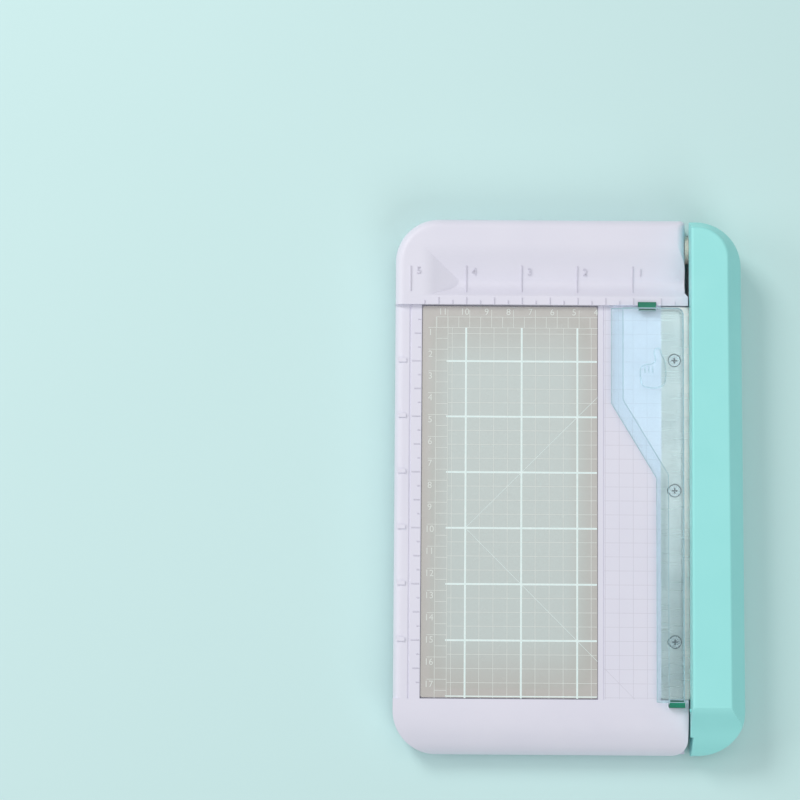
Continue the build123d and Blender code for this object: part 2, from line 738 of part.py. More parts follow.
with BuildPart() as hand_guard:
    with BuildSketch(Plane.XY.offset(guard_bottom_z)):
        add(guard_plan(0))
    extrude(amount=guard_edge)
    with BuildSketch(Plane.XY.offset(guard_bottom_z + guard_edge)):
        add(guard_plan(0))
    with BuildSketch(Plane.XY.offset(guard_bottom_z + guard_thickness)):
        add(guard_plan(bevel_width))
    loft(ruled=True)
    right_edges = hand_guard.edges().filter_by(Axis.Z).group_by(Axis.X)[-1]
    fillet(right_edges.group_by(Axis.Y)[-1], guard_corner)
    # rebates for the noses of the two guides
    with BuildSketch(Plane.XY.offset(guard_bottom_z)):
        with Locations((rear_guide_x, guard_rear_y)):
            Rectangle(rear_guide_width, 2 * nose_overlap)
        with Locations((front_guide_x, guard_front_y)):
            Rectangle(front_guide_width, 2 * nose_overlap)
    extrude(amount=guide_nose_z - guard_bottom_z, mode=Mode.SUBTRACT)
save(hand_guard.part, "hand_guard")

# ---------------------------------------------------------------- guides and springs of the guard
guide_foot_reach = 4.8
spring_wire = 0.3
spring_radius = 1.9
spring_turns = 4


def guard_guide(center_x, width, stem_y, nose_end_y, outward):
    """Nose under the guard, stem down the slot and foot on its spring; outward is +1 or -1 along Y."""
    with BuildPart() as guide:
        with BuildSketch(Plane.YZ.offset(center_x - width / 2)):
            with BuildLine():
                Polyline(
                    (nose_end_y, guard_bottom_z),
                    (stem_y, guard_bottom_z),
                    (stem_y, guide_foot_z),
                    (stem_y + outward * guide_foot_reach, guide_foot_z),
                    (stem_y + outward * guide_foot_reach, guide_foot_top_z),
                    (stem_y + outward * guide_wall, guide_foot_top_z),
                    (stem_y + outward * guide_wall, guide_nose_z),
                    (nose_end_y, guide_nose_z),
                    close=True,
                )
            make_face()
        extrude(amount=width)
    return guide.part


def guide_spring(center_x, center_y):
    """Coil between the frame's floor and a guide's foot."""
    height = guide_foot_z - floor_z - 2 * spring_wire
    with BuildPart() as spring:
        with BuildLine(Plane((center_x, center_y, floor_z + spring_wire))) as coil:
            Helix(height / spring_turns, height, spring_radius)
        with BuildSketch(Plane(origin=coil.line @ 0, z_dir=coil.line % 0)):
            Circle(spring_wire)
        sweep(is_frenet=True)
    return spring.part


rear_nose_y = guard_rear_y - nose_overlap
front_nose_y = guard_front_y + nose_overlap
save(guard_guide(rear_guide_x, rear_guide_width, rear_stem_y, rear_nose_y, 1), "rear_guide")
save(guard_guide(front_guide_x, front_guide_width, front_stem_y, front_nose_y, -1), "front_guide")
save(guide_spring(rear_guide_x, rear_stem_y + 2.6), "rear_guide_spring")
save(guide_spring(front_guide_x, front_stem_y - 2.6), "front_guide_spring")
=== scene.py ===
import math

import bmesh
import bpy
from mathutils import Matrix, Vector


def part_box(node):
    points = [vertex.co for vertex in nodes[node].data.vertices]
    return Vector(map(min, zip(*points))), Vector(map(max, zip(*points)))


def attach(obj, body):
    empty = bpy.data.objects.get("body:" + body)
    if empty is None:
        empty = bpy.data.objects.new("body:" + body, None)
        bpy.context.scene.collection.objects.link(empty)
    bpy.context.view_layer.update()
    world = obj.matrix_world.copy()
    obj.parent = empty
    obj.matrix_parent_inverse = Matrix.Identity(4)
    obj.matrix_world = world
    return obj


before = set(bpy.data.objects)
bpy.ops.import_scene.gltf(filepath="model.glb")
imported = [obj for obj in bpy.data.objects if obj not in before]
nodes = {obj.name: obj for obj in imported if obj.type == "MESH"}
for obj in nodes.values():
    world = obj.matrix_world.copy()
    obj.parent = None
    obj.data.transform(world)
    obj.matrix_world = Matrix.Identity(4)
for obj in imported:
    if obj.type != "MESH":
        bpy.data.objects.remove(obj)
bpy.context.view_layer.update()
scene = bpy.context.scene
mm = 0.001
inch = 25.4 * mm
print("paper cutter frame loaded:", len(nodes), "nodes")

# the two datums that every scale on the cutter starts from
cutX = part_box("fixed_blade")[1].x  # the fixed blade's cutting edge
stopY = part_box("scale_panel")[1].y  # the ledge that the sheet is squared against
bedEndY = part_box("bed_plate")[0].y  # where the bed meets the front block
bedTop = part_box("bed_plate")[1].z
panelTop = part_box("scale_panel")[1].z
printEndY = bedEndY + 0.3 * mm  # the prints stop just short of the front block


# colours and node helpers

def paint(red, green, blue):
    # display colour from 0 to 255, turned into the linear colour that shaders want
    linear = [((c / 255 + 0.055) / 1.055) ** 2.4 if c > 10 else c / 255 / 12.92 for c in (red, green, blue)]
    return (*linear, 1.0)


def blankMaterial(name):
    material = bpy.data.materials.new(name)
    material.use_nodes = True
    tree = material.node_tree
    return material, tree, tree.nodes["Principled BSDF"]


def setSockets(shader, values):
    for socketName, value in values.items():
        shader.inputs[socketName].default_value = value


def pieceCoordinates(tree, stretch=(1, 1, 1)):
    # the piece's own coordinates in metres, stretched for brushed or drawn finishes
    coordinates = tree.nodes.new("ShaderNodeTexCoord")
    mapping = tree.nodes.new("ShaderNodeMapping")
    mapping.inputs["Scale"].default_value = stretch
    tree.links.new(coordinates.outputs["Object"], mapping.inputs["Vector"])
    return mapping.outputs["Vector"]


def cloud(tree, size, detail=3.0, stretch=(1, 1, 1)):
    # soft noise whose blotches are about this size in metres
    noise = tree.nodes.new("ShaderNodeTexNoise")
    noise.inputs["Scale"].default_value = 1 / size
    noise.inputs["Detail"].default_value = detail
    tree.links.new(pieceCoordinates(tree, stretch), noise.inputs["Vector"])
    return noise.outputs["Fac"]


def spread(tree, value, low, high, fromLow=0.3, fromHigh=0.7):
    # a noise value mapped onto a working range
    reach = tree.nodes.new("ShaderNodeMapRange")
    reach.inputs["From Min"].default_value = fromLow
    reach.inputs["From Max"].default_value = fromHigh
    reach.inputs["To Min"].default_value = low
    reach.inputs["To Max"].default_value = high
    tree.links.new(value, reach.inputs["Value"])
    return reach.outputs["Result"]


def multiply(tree, first, second):
    product = tree.nodes.new("ShaderNodeMath")
    product.operation = "MULTIPLY"
    tree.links.new(first, product.inputs[0])
    tree.links.new(second, product.inputs[1])
    return product.outputs["Value"]


def twoTone(tree, value, first, second):
    # drifts between two colours as value goes from low to high
    ramp = tree.nodes.new("ShaderNodeValToRGB")
    ramp.color_ramp.elements[0].position = 0.3
    ramp.color_ramp.elements[0].color = first
    ramp.color_ramp.elements[1].position = 0.7
    ramp.color_ramp.elements[1].color = second
    tree.links.new(value, ramp.inputs["Fac"])
    return ramp.outputs["Color"]


def grain(tree, shader, value, depth):
    # bump whose height is depth in metres
    bump = tree.nodes.new("ShaderNodeBump")
    bump.inputs["Strength"].default_value = 1.0
    bump.inputs["Distance"].default_value = depth
    tree.links.new(value, bump.inputs["Height"])
    tree.links.new(bump.outputs["Normal"], shader.inputs["Normal"])


# finishes, one function for each kind and one dictionary for each finish

# how far the colour and the shine of moulded plastic drift
mouldDrift = {"colour": 28 * mm, "shine": 7 * mm, "shineDetail": 4.0, "coatRoughness": 0.35}

whiteShell = {
    "colour": paint(229, 228, 240), "drift": paint(226, 225, 238), "roughness": (0.40, 0.50),
    "grainSize": 0.45 * mm, "grainDepth": 0.006 * mm, "specular": 0.42, "coat": 0.05,
}
# painted shade: a darker copy of the white shell, so the low moulded ticks and numbers show as if shaded
ruleReliefPaintedShade = {
    "colour": paint(213, 211, 224), "drift": paint(209, 208, 221), "roughness": (0.40, 0.50),
    "grainSize": 0.45 * mm, "grainDepth": 0.006 * mm, "specular": 0.42, "coat": 0.05,
}
mintShell = {
    "colour": paint(160, 236, 233), "drift": paint(156, 233, 230), "roughness": (0.36, 0.46),
    "grainSize": 0.45 * mm, "grainDepth": 0.006 * mm, "specular": 0.45, "coat": 0.08,
}
guideGreen = {
    "colour": paint(10, 134, 104), "drift": paint(6, 120, 92), "roughness": (0.30, 0.42),
    "grainSize": 0.4 * mm, "grainDepth": 0.005 * mm, "specular": 0.5, "coat": 0.1,
}
nylonWhite = {
    "colour": paint(222, 220, 208), "drift": paint(214, 211, 198), "roughness": (0.42, 0.55),
    "grainSize": 0.5 * mm, "grainDepth": 0.006 * mm, "specular": 0.4, "coat": 0.0,
}


def mouldedPlastic(name, look):
    material, tree, shader = blankMaterial(name)
    tone = twoTone(tree, cloud(tree, mouldDrift["colour"]), look["colour"], look["drift"])
    tree.links.new(tone, shader.inputs["Base Color"])
    shine = spread(tree, cloud(tree, mouldDrift["shine"], mouldDrift["shineDetail"]), *look["roughness"])
    tree.links.new(shine, shader.inputs["Roughness"])
    grain(tree, shader, cloud(tree, look["grainSize"], 2.0), look["grainDepth"])
    setSockets(shader, {
        "Specular IOR Level": look["specular"], "Coat Weight": look["coat"],
        "Coat Roughness": mouldDrift["coatRoughness"],
    })
    return material


smokedPanel = {
    "colour": paint(208, 204, 198), "drift": paint(204, 201, 194), "cover": 0.8,
    "middle": paint(216, 225, 222), "paintedGlowFade": 14 * mm,  # painted light: paler over the open middle, where the lit table shows through, fading to the darker tone near the edges, where the hollow is in shade
    "roughness": (0.20, 0.28), "skin": 0.4 * mm,  # only the printed face is tinted
}


def tintedPanel(name, look):
    # a smoked sheet: its top face covers part of what lies under it, and its other faces stay clear
    material, tree, shader = blankMaterial(name)
    tone = twoTone(tree, cloud(tree, 22 * mm), look["colour"], look["drift"])
    shine = spread(tree, cloud(tree, 5 * mm), *look["roughness"])
    tree.links.new(shine, shader.inputs["Roughness"])
    split = tree.nodes.new("ShaderNodeSeparateXYZ")
    tree.links.new(pieceCoordinates(tree), split.inputs["Vector"])
    low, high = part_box("scale_panel")
    # painted light and shade: the colour is paler in the middle and darker towards the edges
    paintedGlowMask = None
    sideFade, endFade = look["paintedGlowFade"], look["paintedGlowFade"] * 2
    for axis, edge, inward in (("X", low.x, sideFade), ("X", high.x, -sideFade),
                               ("Y", low.y, endFade), ("Y", high.y, -endFade)):
        side = spread(tree, split.outputs[axis], 0.0, 1.0, edge, edge + inward)
        paintedGlowMask = side if paintedGlowMask is None else multiply(tree, paintedGlowMask, side)
    blend = tree.nodes.new("ShaderNodeMix")
    blend.data_type = "RGBA"
    tree.links.new(paintedGlowMask, blend.inputs["Factor"])
    tree.links.new(tone, blend.inputs["A"])
    blend.inputs["B"].default_value = look["middle"]
    tree.links.new(blend.outputs["Result"], shader.inputs["Base Color"])
    face = spread(tree, split.outputs["Z"], 0.0, look["cover"], panelTop - look["skin"], panelTop)
    tree.links.new(face, shader.inputs["Alpha"])
    setSockets(shader, {"Specular IOR Level": 0.5, "Coat Weight": 0.25, "Coat Roughness": 0.08})
    return material


clearBlue = {
    "colour": paint(230, 243, 245), "drift": paint(227, 242, 244), "roughness": (0.03, 0.07),
    "shadow": paint(224, 232, 238),  # the light it lets fall on the bed
}


def clearAcrylic(name, look):
    material, tree, shader = blankMaterial(name)
    tone = twoTone(tree, cloud(tree, 35 * mm), look["colour"], look["drift"])
    tree.links.new(tone, shader.inputs["Base Color"])
    shine = spread(tree, cloud(tree, 6 * mm), *look["roughness"])
    tree.links.new(shine, shader.inputs["Roughness"])
    setSockets(shader, {
        "Transmission Weight": 0.96, "IOR": 1.2,
        "Coat Weight": 0.8, "Coat IOR": 1.5, "Coat Roughness": 0.05,
    })
    lampLight = tree.nodes.new("ShaderNodeBsdfTransparent")
    lampLight.inputs["Color"].default_value = look["shadow"]
    rays = tree.nodes.new("ShaderNodeLightPath")
    pick = tree.nodes.new("ShaderNodeMixShader")
    output = tree.nodes["Material Output"]
    tree.links.new(rays.outputs["Is Shadow Ray"], pick.inputs["Fac"])
    tree.links.new(shader.outputs["BSDF"], pick.inputs[1])
    tree.links.new(lampLight.outputs["BSDF"], pick.inputs[2])
    tree.links.new(pick.outputs["Shader"], output.inputs["Surface"])
    return material


bladeSteel = {
    "colour": paint(238, 237, 234), "drift": paint(216, 220, 219), "roughness": (0.26, 0.36),
    "grind": (0.02, 1.0, 1.0), "grindSize": 0.3 * mm, "grindDepth": 0.00003 * mm,
}
screwSteel = {
    "colour": paint(222, 226, 228), "drift": paint(206, 211, 214), "roughness": (0.22, 0.34),
    "grind": (1.0, 1.0, 1.0), "grindSize": 0.7 * mm, "grindDepth": 0.002 * mm,
}
springSteel = {
    "colour": paint(186, 188, 190), "drift": paint(168, 170, 173), "roughness": (0.28, 0.40),
    "grind": (1.0, 1.0, 0.2), "grindSize": 0.6 * mm, "grindDepth": 0.003 * mm,
}
bushBrass = {
    "colour": paint(214, 178, 104), "drift": paint(198, 160, 88), "roughness": (0.26, 0.40),
    "grind": (1.0, 0.15, 0.15), "grindSize": 0.5 * mm, "grindDepth": 0.002 * mm,
}


def groundMetal(name, look):
    # fine grinding marks run along the axis that the grind scale squeezes
    material, tree, shader = blankMaterial(name)
    marks = cloud(tree, look["grindSize"], 4.0, look["grind"])
    tone = twoTone(tree, cloud(tree, 18 * mm, 3.0, look["grind"]), look["colour"], look["drift"])
    tree.links.new(tone, shader.inputs["Base Color"])
    tree.links.new(spread(tree, marks, *look["roughness"]), shader.inputs["Roughness"])
    grain(tree, shader, marks, look["grindDepth"])
    setSockets(shader, {"Metallic": 1.0, "Anisotropic": 0.35})
    return material


footRubber = {
    "colour": paint(88, 90, 94), "drift": paint(76, 78, 82), "roughness": (0.72, 0.88),
    "grainSize": 0.8 * mm, "grainDepth": 0.03 * mm, "sheen": 0.15,
}


def softRubber(name, look):
    material, tree, shader = blankMaterial(name)
    tone = twoTone(tree, cloud(tree, 4 * mm), look["colour"], look["drift"])
    tree.links.new(tone, shader.inputs["Base Color"])
    tree.links.new(spread(tree, cloud(tree, 2 * mm), *look["roughness"]), shader.inputs["Roughness"])
    grain(tree, shader, cloud(tree, look["grainSize"], 4.0), look["grainDepth"])
    setSockets(shader, {"Sheen Weight": look["sheen"], "Specular IOR Level": 0.3})
    return material


panelInk = {"colour": paint(236, 250, 248), "drift": paint(226, 244, 242), "roughness": (0.40, 0.55)}
fineInk = {"colour": paint(222, 227, 222), "drift": paint(216, 222, 217), "roughness": (0.45, 0.60)}
bedInk = {"colour": paint(214, 212, 224), "drift": paint(208, 206, 219), "roughness": (0.45, 0.60)}
# painted shade: the next two finishes are flat dark strips standing in for shade, along the guard's edges
# and in the blade screw recesses
paintedEdgeShade = {"colour": paint(164, 194, 202), "drift": paint(156, 187, 196), "roughness": (0.30, 0.45)}
paintedSeatShade = {"colour": paint(92, 100, 102), "drift": paint(78, 86, 88), "roughness": (0.50, 0.65)}


def printedInk(name, look):
    # screen-printed ink lies a little uneven over the sheet; the same finish also carries the painted shade
    # strips on the guard's edges and round the blade screws
    material, tree, shader = blankMaterial(name)
    tone = twoTone(tree, cloud(tree, 1.5 * mm, 5.0), look["colour"], look["drift"])
    tree.links.new(tone, shader.inputs["Base Color"])
    tree.links.new(spread(tree, cloud(tree, 1 * mm), *look["roughness"]), shader.inputs["Roughness"])
    setSockets(shader, {"Specular IOR Level": 0.35})
    return material


finishes = {
    "white_abs": mouldedPlastic("whiteShell", whiteShell),
    "mint_abs": mouldedPlastic("mintShell", mintShell),
    "green_plastic": mouldedPlastic("guideGreen", guideGreen),
    "nylon": mouldedPlastic("nylonWhite", nylonWhite),
    "smoke_acrylic": tintedPanel("smokedPanel", smokedPanel),
    "clear_blue": clearAcrylic("clearBlue", clearBlue),
    "blade_steel": groundMetal("bladeSteel", bladeSteel),
    "screw_steel": groundMetal("screwSteel", screwSteel),
    "spring_steel": groundMetal("springSteel", springSteel),
    "bush_brass": groundMetal("bushBrass", bushBrass),
    "foot_rubber": softRubber("footRubber", footRubber),
}
paintedShadeRelief = mouldedPlastic("ruleReliefPaintedShade", ruleReliefPaintedShade)
inksAndPaintedShade = {
    "panel": printedInk("panelInk", panelInk),
    "fine": printedInk("fineInk", fineInk),
    "bed": printedInk("bedInk", bedInk),
    "edge": printedInk("paintedEdgeShade", paintedEdgeShade),
    "seat": printedInk("paintedSeatShade", paintedSeatShade),
}

for node in nodes.values():
    for place in node.material_slots:
        place.material = finishes[place.material.name.split(".")[0]]
print("finishes on every node:", len(finishes))


# strips, ticks and numbers that lie on the cutter's surfaces; crossing lines differ a little in
# thickness, so that no two tops lie in one plane

overRows = 1.3
overGrid = 1.4


def surfaceHeight(node, x, y):
    # the top of a CAD node under a point, seen from above
    found, where, normal, face = node.ray_cast(Vector((x, y, 0.2)), Vector((0, 0, -1)))
    return where.z if found else None


def meshPiece(name, bm, material, body):
    bmesh.ops.recalc_face_normals(bm, faces=bm.faces)
    mesh = bpy.data.meshes.new(name)
    bm.to_mesh(mesh)
    bm.free()
    piece = bpy.data.objects.new(name, mesh)
    scene.collection.objects.link(piece)
    piece.data.materials.append(material)
    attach(piece, body)
    return piece


def addStrip(bm, start, end, width, height, level, steps=1, sink=0.05 * mm, crown=0.6):
    # a low bar with sloping sides from start to end; level gives the surface height at x, y
    run = Vector(end) - Vector(start)
    side = Vector((-run.y, run.x)).normalized() * width / 2
    profile = ((-1, -sink), (-1, 0), (-crown, height), (crown, height), (1, 0), (1, -sink))
    rings = []
    for step in range(steps + 1):
        centre = Vector(start) + run * step / steps
        floor = level(centre.x, centre.y)
        rings.append([bm.verts.new((*(centre + side * across), floor + up)) for across, up in profile])
    for near, far in zip(rings, rings[1:]):
        for index in range(len(profile)):
            after = (index + 1) % len(profile)
            bm.faces.new((near[index], near[after], far[after], far[index]))
    bm.faces.new(rings[0])
    bm.faces.new(rings[-1])


def addNumber(bm, text, size, x, y, height, level):
    # a number centred on x, y and laid on the surface below it
    curve = bpy.data.curves.new("number", "FONT")
    curve.body = text
    curve.size = size
    curve.align_x = "CENTER"
    curve.align_y = "CENTER"
    curve.extrude = height
    holder = bpy.data.objects.new("number", curve)
    scene.collection.objects.link(holder)
    bpy.context.view_layer.update()
    digits = bmesh.new()
    digits.from_mesh(bpy.data.meshes.new_from_object(holder))
    bmesh.ops.remove_doubles(digits, verts=digits.verts, dist=0.002 * mm)
    for vertex in digits.verts:
        above = vertex.co.z > 0
        spotX, spotY = x + vertex.co.x, y + vertex.co.y
        vertex.co = (spotX, spotY, level(spotX, spotY) + (height if above else -0.05 * mm))
    scratch = bpy.data.meshes.new("number")
    digits.to_mesh(scratch)
    digits.free()
    bm.from_mesh(scratch)
    bpy.data.meshes.remove(scratch)
    bpy.data.objects.remove(holder)


def flat(height):
    return lambda x, y: height


def over(nodeName):
    # the height of this node's surface under a point, or None beside it
    return lambda x, y: surfaceHeight(nodes[nodeName], x, y)


# the rule printed on the smoked panel

inchLines = {
    "width": 0.85 * mm, "thickness": 0.03 * mm,
    "columns": (4, 3, 2),  # inches left of the cut
    "rows": (1, 2, 3, 4, 5, 6),  # inches in front of the ledge
    "columnStart": 10 * mm, "rowLeft": 110.5 * mm, "rowRight": 41.9 * mm, "lastRow": 0.45 * mm,
}


def printInchLines(look):
    bm = bmesh.new()
    onPanel = flat(panelTop)
    for column in look["columns"]:
        x = cutX - column * inch
        addStrip(bm, (x, stopY - look["columnStart"]), (x, printEndY), look["width"],
                 look["thickness"] * overGrid, onPanel)
    for row in look["rows"]:
        y = stopY - row * inch
        addStrip(bm, (cutX - look["rowLeft"], y), (cutX - look["rowRight"], y), look["width"],
                 look["thickness"], onPanel)
    endY = bedEndY + 1.2 * mm
    addStrip(bm, (cutX - look["rowLeft"], endY), (cutX - look["rowRight"], endY), look["lastRow"],
             look["thickness"], onPanel)
    return meshPiece("panel_inch_lines", bm, inksAndPaintedShade["panel"], "base")


fineGrid = {"pitch": inch / 4, "width": 0.22 * mm, "thickness": 0.02 * mm}


def printFineGrid(look):
    bm = bmesh.new()
    onPanel = flat(panelTop)
    left, right = cutX - inchLines["rowLeft"] + 0.6 * mm, cutX - inchLines["rowRight"]
    rear, front = stopY - inchLines["columnStart"], printEndY
    column = math.ceil((cutX - right) / look["pitch"])
    while cutX - column * look["pitch"] > left:
        x = cutX - column * look["pitch"]
        addStrip(bm, (x, rear), (x, front), look["width"], look["thickness"] * overRows, onPanel)
        column += 1
    row = math.ceil((stopY - rear) / look["pitch"])
    while stopY - row * look["pitch"] > front:
        y = stopY - row * look["pitch"]
        addStrip(bm, (left, y), (right, y), look["width"], look["thickness"], onPanel)
        row += 1
    return meshPiece("panel_fine_grid", bm, inksAndPaintedShade["fine"], "base")


angleLines = {"width": 0.16 * mm, "thickness": 0.034 * mm, "corner": 4 * inch, "right": 41.6 * mm}


def printAngleLines(look):
    # the two guides for cutting at 45 degrees meet on the four-inch column
    bm = bmesh.new()
    cornerX, cornerY = cutX - look["corner"], stopY - look["corner"]
    reach = cutX - look["right"] - cornerX
    for lean in (1, -1):
        addStrip(bm, (cornerX, cornerY), (cornerX + reach, cornerY + lean * reach), look["width"],
                 look["thickness"], flat(panelTop))
    return meshPiece("panel_angle_lines", bm, inksAndPaintedShade["panel"], "base")


centimetreScale = {
    "width": 0.25 * mm, "thickness": 0.03 * mm,
    "outer": 115.3 * mm, "inner": 109.9 * mm,  # the ladder down the panel's left side
    "top": 5.1 * mm, "bottom": 10 * mm,  # the ladder along its rear
    "half": 5 * mm, "last": 17,
    "sideReach": 3.6 * mm, "topReach": 3.4 * mm,  # whole centimetres run on past their number
}


def printCentimetreScale(look):
    bm = bmesh.new()
    onPanel = flat(panelTop)
    outerX, innerX = cutX - look["outer"], cutX - look["inner"]
    topY, bottomY = stopY - look["top"], stopY - look["bottom"]
    rightX = cutX - angleLines["right"]
    thin = look["thickness"]
    for x in (outerX, innerX):
        addStrip(bm, (x, topY), (x, printEndY), look["width"], thin * overGrid, onPanel)
    for y in (topY, bottomY):
        addStrip(bm, (outerX, y), (rightX, y), look["width"], thin * 1.2, onPanel)
    for half in range(2, 2 * look["last"] + 2):
        y = stopY - half * look["half"]
        start = outerX - look["sideReach"] if half % 2 == 0 else outerX
        addStrip(bm, (start, y), (innerX, y), look["width"], thin, onPanel)
    half = math.ceil((cutX - rightX) / look["half"])
    while cutX - half * look["half"] > outerX:
        x = cutX - half * look["half"]
        start = topY + look["topReach"] if half % 2 == 0 else topY
        addStrip(bm, (x, start), (x, bottomY), look["width"], thin, onPanel)
        half += 1
    return meshPiece("panel_centimetre_scale", bm, inksAndPaintedShade["fine"], "base")


panelNumbers = {
    "size": 4.2 * mm, "thickness": 0.03 * mm,
    "sideX": 117.9 * mm, "topY": 2.8 * mm, "shift": 2.3 * mm,  # a number stands just past its line
    "down": range(1, 18), "across": range(4, 12),
}


def printPanelNumbers(look):
    bm = bmesh.new()
    onPanel = flat(panelTop)
    for number in look["down"]:
        y = stopY - look["shift"] - number * 10 * mm
        addNumber(bm, str(number), look["size"], cutX - look["sideX"], y, look["thickness"], onPanel)
    for number in look["across"]:
        x = cutX - look["shift"] - number * 10 * mm
        addNumber(bm, str(number), look["size"], x, stopY - look["topY"], look["thickness"], onPanel)
    return meshPiece("panel_numbers", bm, inksAndPaintedShade["fine"], "base")


printInchLines(inchLines)
printFineGrid(fineGrid)
printAngleLines(angleLines)
printCentimetreScale(centimetreScale)
printPanelNumbers(panelNumbers)
print("panel print done")


# the faint grid on the white bed

bedGrid = {
    "pitch": inch / 4, "width": 0.2 * mm, "thickness": 0.015 * mm,
    "columns": (3, 4, 5, 6), "right": 12.9 * mm, "left": 38.6 * mm,
}


def printBedGrid(look):
    bm = bmesh.new()
    onBed = flat(bedTop)
    left, right = cutX - look["left"], cutX - look["right"]
    for column in look["columns"]:
        x = cutX - column * look["pitch"]
        addStrip(bm, (x, stopY - 0.3 * mm), (x, printEndY), look["width"],
                 look["thickness"] * overRows, onBed)
    row = 1
    while stopY - row * look["pitch"] > printEndY:
        y = stopY - row * look["pitch"]
        addStrip(bm, (left, y), (right, y), look["width"], look["thickness"], onBed)
        row += 1
    # the lower 45 degree guide runs on across the bed
    startY = stopY - angleLines["corner"] - (cutX - look["left"] - (cutX - angleLines["corner"]))
    addStrip(bm, (left, startY), (left + startY - printEndY, printEndY),
             look["width"], look["thickness"] * 1.6, onBed)
    return meshPiece("bed_fine_grid", bm, inksAndPaintedShade["bed"], "base")


printBedGrid(bedGrid)


# rules moulded into the white shell, coloured a darker white as painted shade

rearRule = {
    "width": 0.7 * mm, "height": 0.42 * mm,
    "inchFrom": 18.6 * mm, "inchTo": 6.5 * mm,  # behind the ledge, over the scoop
    "ledgeFrom": 0.7 * mm, "ledge": 3.6 * mm, "quarter": 2.2 * mm, "shift": 3.6 * mm,
    "numberY": 15.8 * mm, "numberSize": 4.6 * mm,
}


def mouldRearRule(look):
    bm = bmesh.new()
    level = over("rear_block")
    for number in range(1, 6):
        x = cutX - number * inch
        far = look["inchFrom"] if number < 5 else look["inchFrom"] - 0.6 * mm
        addStrip(bm, (x, stopY + far), (x, stopY + look["inchTo"]), look["width"], look["height"],
                 level, steps=24)
        addNumber(bm, str(number), look["numberSize"], x + look["shift"], stopY + look["numberY"],
                  look["height"], level)
    for quarter in range(1, 20):
        x = cutX - quarter * inch / 4
        reach = look["ledge"] if quarter % 2 == 0 else look["quarter"]
        start = stopY + look["ledgeFrom"]
        if level(x, start) is not None:  # the guard's slot has no ledge to mark
            addStrip(bm, (x, start), (x, stopY + reach), look["width"] * 0.8, look["height"] * 0.8,
                     level, steps=4)
    return meshPiece("rear_rule", bm, paintedShadeRelief, "base")


railRule = {
    "width": 0.5 * mm, "height": 0.3 * mm, "right": 122.4 * mm,
    "inchLeft": 126.2 * mm, "halfLeft": 125.2 * mm, "quarterLeft": 123.6 * mm,
}


def mouldRailRule(look):
    bm = bmesh.new()
    level = over("left_rail")
    quarter = 1
    while stopY - quarter * inch / 4 > bedEndY + 1 * mm:
        y = stopY - quarter * inch / 4
        left = look["inchLeft"] if quarter % 4 == 0 else look["halfLeft"]
        if quarter % 2:
            left = look["quarterLeft"]
        addStrip(bm, (cutX - left, y), (cutX - look["right"], y), look["width"], look["height"], level)
        quarter += 1
    return meshPiece("rail_rule", bm, paintedShadeRelief, "base")


mouldRearRule(rearRule)
mouldRailRule(railRule)
print("moulded rules done")


# the hand mark on the clear guard

handMark = {
    "line": 0.3 * mm, "rise": 0.02 * mm,
    # outline of a closed hand with its thumb up, in mm from the cut and from the ledge
    "outline": (
        (-22.2, -28.6), (-21.4, -27.7), (-16.4, -26.3), (-15.7, -24.8), (-16.2, -22.2),
        (-15.9, -20.4), (-14.8, -19.6), (-13.6, -20.4), (-12.9, -22.6), (-11.6, -25.2),
        (-11.2, -28.0), (-11.2, -33.4), (-12.0, -36.2), (-14.2, -37.4), (-19.8, -37.4),
        (-21.8, -36.2), (-22.3, -33.8),
    ),
    "fingers": (-20.4, -18.7, -17.0), "fingerTop": -27.9, "fingerEnd": -30.9,
}


def guardMark(look):
    curve = bpy.data.curves.new("guard_hand_mark", "CURVE")
    curve.dimensions = "3D"
    curve.bevel_depth = look["line"]
    curve.bevel_resolution = 3
    curve.resolution_u = 6
    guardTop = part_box("hand_guard")[1].z
    strokes = [(look["outline"], True)]
    for x in look["fingers"]:
        strokes.append((((x, look["fingerTop"]), (x, look["fingerEnd"])), False))
    for points, closed in strokes:
        spline = curve.splines.new("BEZIER")
        spline.bezier_points.add(len(points) - 1)
        spline.use_cyclic_u = closed
        for knot, (x, y) in zip(spline.bezier_points, points):
            knot.co = (cutX + x * mm, stopY + y * mm, guardTop + look["rise"])
            knot.handle_left_type = "AUTO"
            knot.handle_right_type = "AUTO"
    curve.use_fill_caps = True
    mark = bpy.data.objects.new("guard_hand_mark", curve)
    scene.collection.objects.link(mark)
    mark.data.materials.append(finishes["clear_blue"])
    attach(mark, "guard")
    return mark


guardMark(handMark)


guardEdges = {
    "width": 0.32 * mm, "thickness": 0.03 * mm, "shortest": 0.15 * mm,
    "level": 0.98, "levelWithin": 0.01 * mm,  # how flat a face and an edge have to lie
}


def traceGuardEdges(look):
    # the corners of clear acrylic gather the light, so each one shows as a thin line; that line is painted
    # shade, a flat darker strip laid along each top and bottom edge
    shape = bmesh.new()
    shape.from_mesh(nodes["hand_guard"].data)
    bmesh.ops.remove_doubles(shape, verts=shape.verts, dist=0.001 * mm)
    shape.normal_update()
    guardLow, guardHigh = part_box("hand_guard")
    bm = bmesh.new()
    for edge in shape.edges:
        heights = [face.normal.z for face in edge.link_faces]
        first, second = (corner.co for corner in edge.verts)
        sloping = abs(first.z - second.z) > look["levelWithin"]
        if len(heights) != 2 or edge.calc_length() < look["shortest"] or sloping:
            continue
        atTop = max(heights) > look["level"] > min(heights)
        atBottom = min(heights) < -look["level"] < max(heights)
        if atTop or atBottom:
            addStrip(bm, first.xy, second.xy, look["width"], look["thickness"], flat(first.z))
    shape.free()
    return meshPiece("guard_edge_lines", bm, inksAndPaintedShade["edge"], "guard")


traceGuardEdges(guardEdges)
print("guard marks done")


